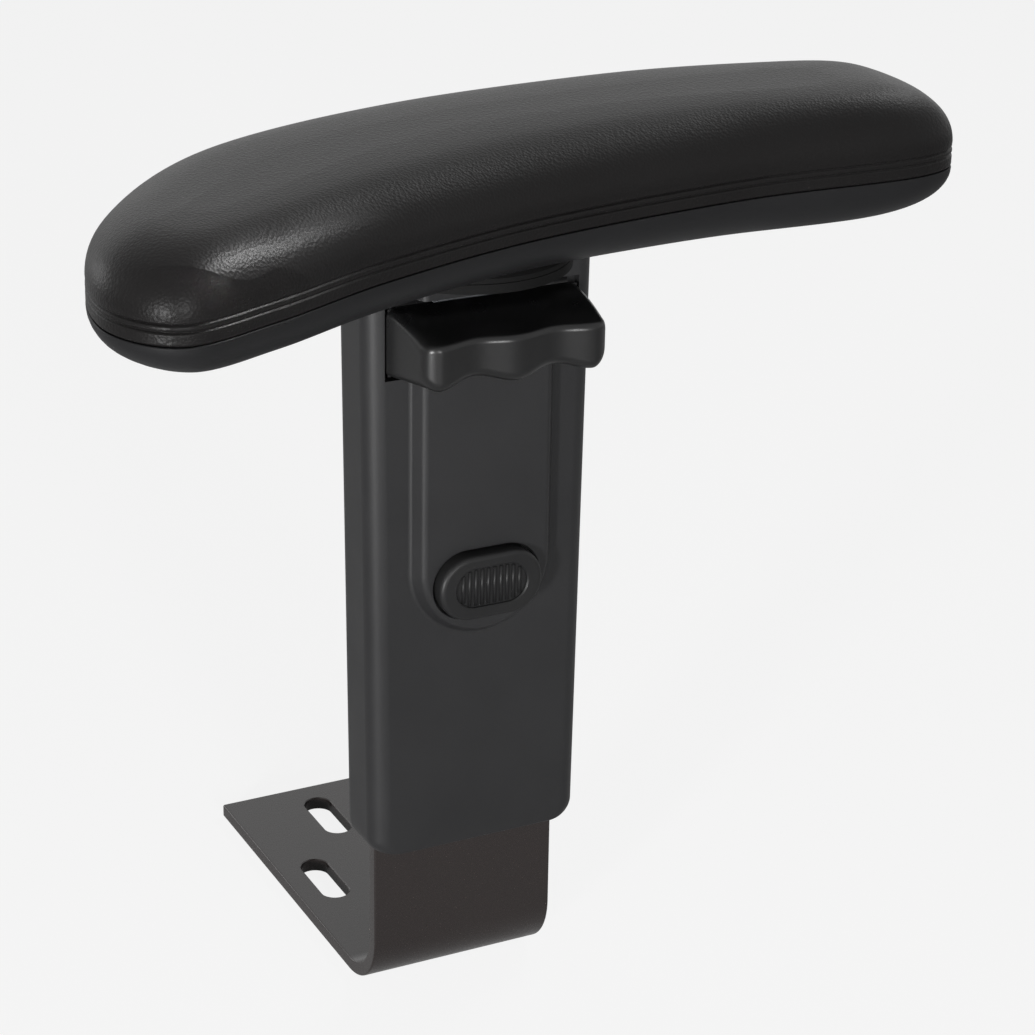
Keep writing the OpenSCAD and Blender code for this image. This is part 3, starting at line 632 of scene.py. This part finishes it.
def ribTree(material):
    # bars in a row along X, each cut short by the round ends of the field
    tree = bpy.data.node_groups.new("gripRibs", "GeometryNodeTree")
    given = makeInputs(tree, [("Count", "Int")] + [(name, "Float") for name in (
        "Pitch", "Width", "Height", "Field Radius", "Field Straight")])
    worked = partial(mathNode, tree)
    line = addNode(tree, "GeometryNodeMeshLine", {}, {
        "Count": given["Count"], "Offset": vectorNode(tree, given["Pitch"])})
    span = worked("MULTIPLY", worked("SUBTRACT", given["Count"], 1.0), given["Pitch"])
    row = addNode(tree, "GeometryNodeSetPosition", {}, {
        "Geometry": line.outputs["Mesh"], "Offset": vectorNode(tree, worked("MULTIPLY", span, -0.5))})
    x = addNode(tree, "ShaderNodeSeparateXYZ", {}, {
        "Vector": addNode(tree, "GeometryNodeInputPosition").outputs[0]}).outputs["X"]
    straightHalf = worked("MULTIPLY", given["Field Straight"], 0.5)
    past = worked("MAXIMUM", worked("SUBTRACT", worked("ABSOLUTE", x), straightHalf))
    radiusSquare = worked("MULTIPLY", given["Field Radius"], given["Field Radius"])
    chord = worked("SQRT", worked("SUBTRACT", radiusSquare, worked("MULTIPLY", past, past)))
    length = worked("SUBTRACT", worked("MULTIPLY", chord, 2.0), given["Width"])
    # one bar: a round rod of unit size, scaled to its width, height and length
    bar = addNode(tree, "GeometryNodeMeshCylinder", {"fill_type": "TRIANGLE_FAN"}, {
        "Vertices": 12, "Radius": 0.5, "Depth": 1.0})
    scale = vectorNode(tree, given["Width"], worked("MULTIPLY", given["Height"], 2.0), length)
    copies = addNode(tree, "GeometryNodeInstanceOnPoints", {}, {
        "Points": row.outputs["Geometry"], "Instance": bar.outputs["Mesh"], "Scale": scale})
    real = addNode(tree, "GeometryNodeRealizeInstances", {}, {"Geometry": copies.outputs[0]})
    smooth = addNode(tree, "GeometryNodeSetShadeSmooth", {}, {"Geometry": real.outputs[0]})
    painted = addNode(tree, "GeometryNodeSetMaterial", {}, {
        "Geometry": smooth.outputs[0], "Material": material})
    addNode(tree, "NodeGroupOutput", {}, {"Geometry": painted.outputs[0]})
    return tree


def grown(name, tree, points, values):
    # runs a Geometry Nodes tree on loose points, with its inputs set by name, and keeps the plain mesh
    piece = newMesh(name, points, [])
    m = piece.modifiers.new("tree", "NODES")
    m.node_group = tree
    for item in tree.interface.items_tree:
        if item.in_out == "INPUT" and item.name in values:
            m[item.identifier] = values[item.name]
    return applied(piece)


def sweptStadium(name, profile, straight, z, steps=40):
    # profile of (radius, y) from the back to the face, closed by flat caps
    return stadiumTool(name, 0, straight, z, [(y, r) for r, y in profile], steps)


def joined(name, parts):
    # several closed shells as one piece
    bm = bmesh.new()
    for part in parts:
        bm.from_mesh(part.data)
        bpy.data.objects.remove(part)
    mesh = bpy.data.meshes.new(name)
    bm.to_mesh(mesh)
    bm.free()
    piece = bpy.data.objects.new(name, mesh)
    bpy.context.scene.collection.objects.link(piece)
    return piece


def makeButton(s):
    flangeRadius, flangeY = s["flange"]
    r, rim, face, floor = s["radius"], s["rim"], s["face"], s["fieldFloor"]
    profile = [(flangeRadius, s["back"]), (flangeRadius, flangeY), (r, flangeY + 0.01), (r, face + rim + 1)]
    profile += [(r - rim * (1 - math.cos(t)), face + rim * (1 - math.sin(t)))
                for t in (math.pi / 2 * i / s["rimSteps"] for i in range(s["rimSteps"] + 1))]
    cap = sweptStadium("pushButton", profile, s["straight"], s["z"])
    levels = flared(face, floor, s["fieldLip"])
    boreRadius, y0, y1 = s["bore"]
    boolean(cap, [stadiumTool("field", s["fieldRadius"], s["fieldStraight"], s["z"], levels),
                  rod("bore", boreRadius * mm, *atUpright([(0, y0, s["z"]), (0, y1, s["z"])]))])
    shaded(cap)
    ribs = grown("gripRibs", ribTree(buttonNylon), [(0, 0, 0)], {
        "Count": s["ribCount"], "Pitch": s["ribPitch"] * mm, "Width": s["ribWidth"] * mm,
        "Height": (floor - s["ribTop"]) * mm, "Field Radius": s["fieldRadius"] * mm,
        "Field Straight": s["fieldStraight"] * mm})
    ribs.data.transform(Matrix.Translation(atUpright([(0, floor + s["ribSunk"], s["z"])])[0]))
    return cap, ribs


pushButton, gripRibs = makeButton(buttonShape)
finishPiece(pushButton, buttonNylon, "button", ["button"])
finishPiece(gripRibs, buttonNylon, "button")
print("push button made")

# finger paddle

paddleShape = {
    "frontHalf": 28.7, "rearHalf": 30.7, "rear": -9.6, "front": -34,
    "topRear": 229.0, "topFront": 225.3, "bottomRear": 208.1, "bottomFront": 210.7,
    "topEdge": 2.4, "lowerEdge": 3.2, "endFront": 5, "endTop": 2.4, "endLow": 5,
    "crestPitch": 24.5, "faceWave": 2.5, "lowerWave": 2.2, "dipEnd": 1, "dipFade": 3, "crown": 0.75,
    "endLowRear": 0.4, "lowerTurn": 262, "stations": 150, "crowding": 0.55, "edgeSteps": 10,
    "topSteps": 8, "underSteps": 12, "seam": 0.05,
}


def cutCopy(nodeName, y0, y1):
    # the part of a CAD node between two planes across Y, as its own closed mesh
    piece = nodes[nodeName].copy()
    piece.data = nodes[nodeName].data.copy()
    piece.parent = None
    piece.matrix_world = Matrix.Identity(4)
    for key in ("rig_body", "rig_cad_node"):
        if key in piece:
            del piece[key]
    bpy.context.scene.collection.objects.link(piece)
    bm = bmesh.new()
    bm.from_mesh(piece.data)
    bmesh.ops.remove_doubles(bm, verts=bm.verts, dist=1e-6)
    bm.to_mesh(piece.data)
    bm.free()
    boolean(piece, [slabAt("keep", -60, 60, y0, y1, 150, 300)], "INTERSECT")
    return piece


def paddleSection(s, x, half):
    # side outline of the grip at one station, from the rear top round the front to the rear bottom
    frontIn, topIn, lowIn = (roundIn(abs(x) - half + s[k], s[k]) for k in ("endFront", "endTop", "endLow"))
    dip = (1 - math.cos(2 * math.pi * x / s["crestPitch"])) / 2
    dip *= min(1.0, max(0.0, (half - s["dipEnd"] - abs(x)) / s["dipFade"]))
    front, rear = s["front"] + s["faceWave"] * dip + frontIn, s["rear"]
    topF, botF = s["topFront"] - topIn, s["bottomFront"] + s["lowerWave"] * dip + lowIn
    topR, botR = s["topRear"] - topIn, s["bottomRear"] + lowIn * s["endLowRear"]
    rT, rB, crown = s["topEdge"], s["lowerEdge"], s["crown"]
    run = front - rear + rT
    points = []
    for i in range(s["topSteps"] + 1):  # top, slightly crowned as it falls to the front
        t = i / s["topSteps"]
        points.append((rear + run * t, topR + (topF - topR) * ((1 - crown) * t + crown * t * t)))
    lean = math.degrees(math.atan2((1 + crown) * (topR - topF), -run))
    points += arc(front + rT, topF - rT, rT, 90 + lean, 180, s["edgeSteps"])[1:]
    points += arc(front + rB, botF + rB, rB, 180, s["lowerTurn"], s["edgeSteps"])
    startY, startZ = points[-1]
    low = s["bottomFront"] + lowIn
    for i in range(1, s["underSteps"] + 1):  # underside, the finger dips fade toward the sleeve
        t = i / s["underSteps"]
        z = low + (botR - low) * t + s["lowerWave"] * dip * (1 - t) ** 2
        points.append((startY + (rear - startY) * t, min(startZ, z) if i == 1 else z))
    return points


def rearWidening(s, y):
    # the grip is wider at the sleeve than at its lip
    back = max(0.0, (y - s["front"]) / (s["rear"] - s["front"]))
    return 1 + (s["rearHalf"] / s["frontHalf"] - 1) * back


def makeGrip(s):
    half, count = s["frontHalf"], s["stations"]
    rings = []
    for i in range(count + 1):  # stations crowd toward both ends
        u = -s["crowding"] * math.cos(math.pi * i / count) + (1 - s["crowding"]) * (2 * i / count - 1)
        section = paddleSection(s, half * u, half)
        rings.append(atUpright([(half * u * rearWidening(s, y), y, z) for y, z in section]))
    return loft("fingerPaddle", rings)


def makePaddle(s):
    grip = makeGrip(s)
    inner = cutCopy("paddle", s["rear"] - s["seam"], sleeveShape["behind"])
    shaded(grip, 50)
    shaded(inner, 30)
    return joined("fingerPaddle", [grip, inner])


finishPiece(makePaddle(paddleShape), paddleNylon, "paddle", ["paddle"])
print("paddle made")

# pad

padShape = {
    "knots": [(-135, -53), (-104, -52), (-61, -44), (-4, -41), (66, -49), (125, -64), (145, -52),
              (152, -15), (127, 8), (76, 31), (-1, 45), (-73, 38), (-122, 7), (-143, -28)],
    "foldKnot": 13, "knotSteps": 18, "evening": (0.5, -0.52), "eveningRounds": 10, "yaw": 14,
    "spineScale": 0.72, "spineDrop": 500, "spineY": 3, "inwardLimit": 0.9,
    "shellBottom": 239, "rim": 254, "shellRound": 26, "innerRound": 24.6, "taper": 0.3, "tip": 0.5,
    "tipX": 150, "wall": 2.4, "floor": 2.5, "shellSteps": 18, "rimEase": 0.4,
    "rimFillet": ((0.05, 0.25), (0.15, 0.1), (0.35, 0)),  # inset, depth below the rim
    "pivotBore": (4.1, 230, 250), "swivelBoss": (11, 31, 244),  # hole, radius, top
    "bossEdge": ((-0.4, 0.02), (-0.1, 0.15), (0, 0.4), (0, 1.6)), "bossDraft": 3, "bossSides": 128,
    "underside": (6, 1.6), "lift": 0.05, "sideStep": 0.15, "lipIn": 0.7, "lipHigh": 0.75,
    "grooves": (258.0, 260.0), "grooveDepth": 0.7, "grooveWidth": 0.36,
    "sideTop": 260.5, "shoulderWide": 24, "shoulderHigh": 15, "shoulderPower": 0.833, "shoulderSteps": 30,
    "crown": 3.5, "crownWide": 40, "crownEnd": 36, "crownSteps": 7,
}
swivel = Vector(jointAt["pad_swivel"]["pos_m"])


def padOutline(s):
    knots = [Vector(k) for k in s["knots"]]
    n = len(knots)
    points = []
    for i in range(n):
        a, b, c, d = (knots[(i + k) % n] for k in (-1, 0, 1, 2))
        for j in range(s["knotSteps"]):
            t = j / s["knotSteps"]
            points.append(0.5 * (2 * b + (c - a) * t + (2 * a - 5 * b + 4 * c - d) * t * t
                                 + (3 * b - a - 3 * c + d) * t ** 3))
    m = len(points)
    for weight in s["evening"] * s["eveningRounds"]:  # evens the curvature at the knots without shrinking
        points = [p + weight * ((points[i - 1] + points[(i + 1) % m]) / 2 - p) for i, p in enumerate(points)]
    return points


outline = padOutline(padShape)
turn = Matrix.Rotation(math.radians(padShape["yaw"]), 2)


def padRing(s, inset, z, widening=0.0):
    # the widening part of the inset grows toward the tips
    ring = []
    for p in outline:
        along = s["spineScale"] * p.x
        spine = Vector((along, s["spineY"] - along * along / s["spineDrop"]))
        toSpine = spine - p
        u = p.x / s["tipX"]
        total = inset + widening * (1 - s["taper"] * u + s["tip"] * u ** 4)
        q = turn @ (p + toSpine * min(total / toSpine.length, s["inwardLimit"]))
        ring.append((q.x * mm + swivel.x, q.y * mm + swivel.y, z * mm))
    return ring


def padSolid(name, rings, s):
    # side quads, with strips across the ends between points that face each other about the fold
    n = len(rings[0])
    fold = s["foldKnot"] * s["knotSteps"]
    verts = [p for ring in rings for p in ring]
    faces = [(k * n + i, k * n + (i + 1) % n, (k + 1) * n + (i + 1) % n, (k + 1) * n + i)
             for k in range(len(rings) - 1) for i in range(n)]
    for base, flip in ((0, True), ((len(rings) - 1) * n, False)):
        for i in range((fold - n) // 2, fold // 2):
            face = []
            for m in (i, i + 1, fold - i - 1, fold - i):
                if (m % n) + base not in face:
                    face.append((m % n) + base)
            faces.append(tuple(reversed(face)) if flip else tuple(face))
    return newMesh(name, verts, faces)


def grooveAt(s, z):
    return sum(s["grooveDepth"] * math.exp(-((z - g) / s["grooveWidth"]) ** 2) for g in s["grooves"])


def crownAt(s, inset):
    t = min(inset / s["crownWide"], 1)
    return s["crown"] * (1 - (1 - t) ** 2)


def cushionProfile(s):
    # (inset, height) from the underside up the grooved side and over the shoulder to the crown
    points = [(inset, s["rim"] + s["lift"]) for inset in s["underside"]]
    start = z = s["rim"] + s["sideStep"]
    while z < s["sideTop"] - s["lift"]:
        lip = max(0.0, 1 - (z - start) / s["lipHigh"])
        points.append((s["lift"] + grooveAt(s, z) + s["lipIn"] * lip ** 2, z))
        z += s["sideStep"]
    wide, high, power = s["shoulderWide"], s["shoulderHigh"], s["shoulderPower"]
    for i in range(s["shoulderSteps"] + 1):
        t = math.pi / 2 * i / s["shoulderSteps"]
        inset = wide * (1 - math.cos(t) ** power)
        z = s["sideTop"] + high * math.sin(t) ** power + crownAt(s, inset)
        points.append((inset + grooveAt(s, z) + s["lift"], z))
    for i in range(1, s["crownSteps"] + 1):
        inset = wide + (s["crownEnd"] - wide) * i / s["crownSteps"]
        points.append((inset, s["sideTop"] + high + crownAt(s, inset)))
    return points


def makeCushion(s):
    cushion = padSolid("padCushion", [padRing(s, d, z) for d, z in cushionProfile(s)], s)
    return shaded(cushion, 60)


def makePadShell(s):
    rim, bottom = s["rim"], s["shellBottom"]
    edge, inside = rim - s["rimEase"], rim - bottom - s["floor"]
    turns = [math.pi / 2 * i / s["shellSteps"] for i in range(s["shellSteps"] + 1)]
    outer = [(0, s["shellRound"] * (1 - math.sin(t)), edge - (edge - bottom) * math.cos(t)) for t in turns]
    outer += [(inset, 0, rim - depth) for inset, depth in s["rimFillet"]]
    inner = [(s["wall"], s["innerRound"] * (1 - math.sin(t)), rim - inside * math.cos(t)) for t in turns]
    inner.append((s["wall"], 0, rim + 1))
    shell = padSolid("padShell", [padRing(s, d, z, w) for d, w, z in outer], s)
    hollow = padSolid("padHollow", [padRing(s, d, z, w) for d, w, z in inner], s)
    radius, z0, z1 = s["pivotBore"]
    bore = rod("bore", radius * mm, (swivel.x, swivel.y, z0 * mm), (swivel.x, swivel.y, z1 * mm))
    return boolean(shell, [hollow, bore])


def makeSwivelBoss(s):
    # dull round step under the shell that the index plate is screwed to, coloured extra dark as painted shade
    # under the pad
    hole, radius, top = s["swivelBoss"]
    low = s["shellBottom"]
    turns = [2 * math.pi * i / s["bossSides"] for i in range(s["bossSides"])]
    profile = [(hole, low + s["bossEdge"][0][1])]
    profile += [(radius + out, low + up) for out, up in s["bossEdge"]]
    profile += [(radius - s["bossDraft"], top), (hole, top)]
    boss = loft("swivelBoss", [[(swivel.x + r * mm * math.cos(t), swivel.y + r * mm * math.sin(t), z * mm)
                                for t in turns] for r, z in profile + profile[:1]], capped=False)
    bm = bmesh.new()
    bm.from_mesh(boss.data)
    bmesh.ops.remove_doubles(bm, verts=bm.verts, dist=1e-7)
    bmesh.ops.recalc_face_normals(bm, faces=bm.faces)
    bm.to_mesh(boss.data)
    bm.free()
    return boss


cushion = makeCushion(padShape)
finishPiece(cushion, padSkin, "pad", ["pad_cushion"])
finishPiece(shaded(makePadShell(padShape), 40), shellPlastic, "pad", ["pad_shell"])
# the swivel boss in the extra dark acetal: painted shade under the pad
finishPiece(shaded(makeSwivelBoss(padShape), 40), paintedShadeAcetal, "pad")
print("pad made")

# screw heads

screwShape = {
    "domeSides": 32, "domeRings": 16, "shankSides": 24,
    "blade": (1.15, 0.24),  # length and width of one arm of the cross, as shares of the head's radius
}
padScrewShape = {
    "places": ((-88, -12), (-52, -1), (52, -2), (95, -14)), "head": (3.75, 2), "shank": (1.78, 8.5),
}
coverScrewShape = {"head": (3, 1.3), "shank": (1.28, 7)}


def screwTree(s, material):
    # pan head with a cross recess and a plain shank, on every point of a list
    tree = bpy.data.node_groups.new("screws", "GeometryNodeTree")
    given = makeInputs(tree, [("Geometry", "Geometry"), ("Head Radius", "Float"), ("Head Height", "Float"),
                              ("Shank Radius", "Float"), ("Length", "Float"), ("Tilt", "Rotation")])
    worked, vector = partial(mathNode, tree), partial(vectorNode, tree)
    radius, height = given["Head Radius"], given["Head Height"]
    put = lambda mesh, z: addNode(tree, "GeometryNodeTransform", {}, {
        "Geometry": mesh.outputs["Mesh"], "Translation": vector(z=z)}).outputs[0]
    dome = addNode(tree, "GeometryNodeMeshUVSphere", {}, {
        "Segments": s["domeSides"], "Rings": s["domeRings"], "Radius": 1.0})
    domed = addNode(tree, "GeometryNodeTransform", {}, {
        "Geometry": dome.outputs["Mesh"], "Scale": vector(radius, radius, height)})
    wide = worked("MULTIPLY", radius, 3.0)
    half = addNode(tree, "GeometryNodeMeshCube", {}, {
        "Size": vector(wide, wide, worked("MULTIPLY", height, 2.0))})
    tools = [put(half, height)]
    long, thin = (worked("MULTIPLY", radius, share) for share in s["blade"])
    for x, y in ((long, thin), (thin, long)):
        blade = addNode(tree, "GeometryNodeMeshCube", {}, {"Size": vector(x, y, height)})
        tools.append(put(blade, worked("MULTIPLY", height, -1.0)))
    head = addNode(tree, "GeometryNodeMeshBoolean", {"operation": "DIFFERENCE", "solver": "EXACT"}, {
        "Mesh 1": domed.outputs[0]})
    for tool in tools:
        tree.links.new(tool, head.inputs["Mesh 2"])
    shank = addNode(tree, "GeometryNodeMeshCylinder", {}, {
        "Vertices": s["shankSides"], "Radius": given["Shank Radius"], "Depth": given["Length"]})
    both = addNode(tree, "GeometryNodeJoinGeometry")
    tree.links.new(head.outputs[0], both.inputs[0])
    tree.links.new(put(shank, worked("MULTIPLY", given["Length"], 0.5)), both.inputs[0])
    copies = addNode(tree, "GeometryNodeInstanceOnPoints", {}, {
        "Points": given["Geometry"], "Instance": both.outputs[0], "Rotation": given["Tilt"]})
    real = addNode(tree, "GeometryNodeRealizeInstances", {}, {"Geometry": copies.outputs[0]})
    painted = addNode(tree, "GeometryNodeSetMaterial", {}, {
        "Geometry": real.outputs[0], "Material": material})
    addNode(tree, "NodeGroupOutput", {}, {"Geometry": painted.outputs[0]})
    return tree


def makeScrews(name, tree, points, s, tilt):
    headRadius, headHeight = s["head"]
    shankRadius, length = s["shank"]
    return shaded(grown(name, tree, points, {
        "Head Radius": headRadius * mm, "Head Height": headHeight * mm,
        "Shank Radius": shankRadius * mm, "Length": length * mm, "Tilt": tilt}))


screws = screwTree(screwShape, zinc)
padScrewPlaces = []
for place in padScrewShape["places"]:
    p = turn @ Vector(place)
    padScrewPlaces.append((p.x * mm + swivel.x, p.y * mm + swivel.y, padShape["shellBottom"] * mm))
padScrews = makeScrews("padScrews", screws, padScrewPlaces, padScrewShape, (0, 0, 0))
finishPiece(padScrews, zinc, "pad", ["pad_screws"])
coverX, coverZ, _, _, seatDepth = sleeveShape["coverScrew"]
seatY = sleeveShape["rear"] - seatDepth
coverScrewPlaces = atUpright([(-coverX, seatY, coverZ), (coverX, seatY, coverZ)])
coverScrews = makeScrews("coverScrews", screws, coverScrewPlaces, coverScrewShape, (math.radians(90), 0, 0))
finishPiece(coverScrews, zinc, "sleeve", ["cover_screws"])
print("screws made")

# studio

studio = {
    "floorZ": -4.6, "floorHalf": 6000, "floorColour": "#f4f4f4",  # mm
    "floorGlow": 0.86, "floorGloss": 0.2, "worldLight": 0.08,
}


def whiteRays(tree, seen, glossed):
    # how far the plain white background replaces the lit one, for rays from the camera and off a gloss
    rays = addNode(tree, "ShaderNodeLightPath").outputs
    worked = partial(mathNode, tree)
    either = worked("MAXIMUM", rays["Is Glossy Ray"], rays["Is Transmission Ray"])
    camera = worked("MULTIPLY", rays["Is Camera Ray"], seen)
    return worked("MAXIMUM", camera, worked("MULTIPLY", either, glossed))


def makeFloor(s):
    half, z = s["floorHalf"] * mm, s["floorZ"] * mm
    corners = [(x * half, y * half, z) for x, y in ((-1, -1), (1, -1), (1, 1), (-1, 1))]
    floor = newMesh("floor", corners, [(0, 1, 2, 3)])
    material, tree, shader = startMaterial("pale floor", s["floorColour"], 0.9)
    glow = addNode(tree, "ShaderNodeEmission", {}, {"Color": (1, 1, 1, 1), "Strength": 1.0})
    mix = addNode(tree, "ShaderNodeMixShader")
    tree.links.new(whiteRays(tree, s["floorGlow"], s["floorGloss"]), mix.inputs[0])
    tree.links.new(shader.outputs[0], mix.inputs[1])
    tree.links.new(glow.outputs[0], mix.inputs[2])
    tree.links.new(mix.outputs[0], tree.nodes["Material Output"].inputs["Surface"])
    floor.data.materials.append(material)


def makeWorld(s):
    world = bpy.data.worlds.new("studio")
    bpy.context.scene.world = world
    world.use_nodes = True
    tree = world.node_tree
    tree.nodes.clear()
    lit = addNode(tree, "ShaderNodeBackground", {}, {"Color": (1, 1, 1, 1), "Strength": s["worldLight"]})
    seen = addNode(tree, "ShaderNodeBackground", {}, {"Color": (1, 1, 1, 1), "Strength": 1.0})
    mix = addNode(tree, "ShaderNodeMixShader")
    tree.links.new(whiteRays(tree, 1.0, 1.0), mix.inputs[0])
    tree.links.new(lit.outputs[0], mix.inputs[1])
    tree.links.new(seen.outputs[0], mix.inputs[2])
    out = addNode(tree, "ShaderNodeOutputWorld")
    tree.links.new(mix.outputs[0], out.inputs["Surface"])


def addLamp(name, place, aim, size, power, spread=180):
    # metres, watts and degrees
    data = bpy.data.lights.new(name, "AREA")
    data.shape = "RECTANGLE"
    data.size, data.size_y = size
    data.energy = power
    data.spread = math.radians(spread)
    lamp = bpy.data.objects.new(name, data)
    back = Vector(place) - Vector(aim)
    lamp.matrix_world = Matrix.Translation(place) @ back.to_track_quat("Z", "Y").to_matrix().to_4x4()
    bpy.context.scene.collection.objects.link(lamp)


makeFloor(studio)
makeWorld(studio)
middle = (0, -0.06, 0.15)
padEnd = (-0.125, -0.165, 0.27)
addLamp("leftStrip", (-1.2, -1.05, 0.15), middle, (0.15, 0.28), 24)
addLamp("frontBox", (-0.2, -1.3, 0.35), (0, -0.12, 0.22), (0.15, 0.3), 6.9)
addLamp("farRightBox", (1.03, 0.3, 1.11), padEnd, (0.2, 0.2), 0.94)
addLamp("backRightBox", (0.94, 0.58, 1.02), padEnd, (0.2, 0.2), 1.1)
addLamp("rearStrip", (-0.75, 1.25, 0.27), middle, (0.4, 0.3), 1.4)
addLamp("gridSpot", (1.0, -0.3, 1.2), (-0.13, -0.168, 0.268), (0.06, 0.06), 0.019, 2.5)
scene = bpy.context.scene
scene.view_settings.view_transform = "Standard"
print("studio made")
